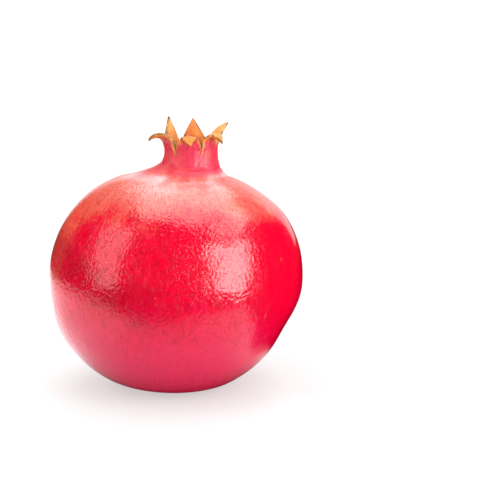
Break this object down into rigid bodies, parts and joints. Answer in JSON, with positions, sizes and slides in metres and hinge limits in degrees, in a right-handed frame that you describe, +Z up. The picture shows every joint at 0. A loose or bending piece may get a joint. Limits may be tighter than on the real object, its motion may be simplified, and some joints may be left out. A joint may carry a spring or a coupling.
{
  "type": "pomegranate",
  "caption": "Whole ripe pomegranate: a round glossy rind that rises into a short tubular crown of pointed curling sepals, standing on a small flat spot.",
  "frame": {"origin": "the middle of the fruit's width, on the flat spot that it stands on", "axes": "+Z up from the flat spot to the crown; the crown and the stalk lie 6 mm to the +X side; -Y is the side with the sepal that is folded right over"},
  "size_m": [0.0954, 0.0958, 0.1012],
  "materials": {
    "rind": "smooth waxy red rind with a soft gloss, turning orange at the crown",
    "dried_stamens": "dry matte brown filaments with golden tips",
    "stalk_wood": "dry fibrous cut stalk"
  },
  "bodies": {
    "root": {"fruit": "rind", "stamens": "dried_stamens", "stalk_end": "stalk_wood"}
  },
  "joints": []
}
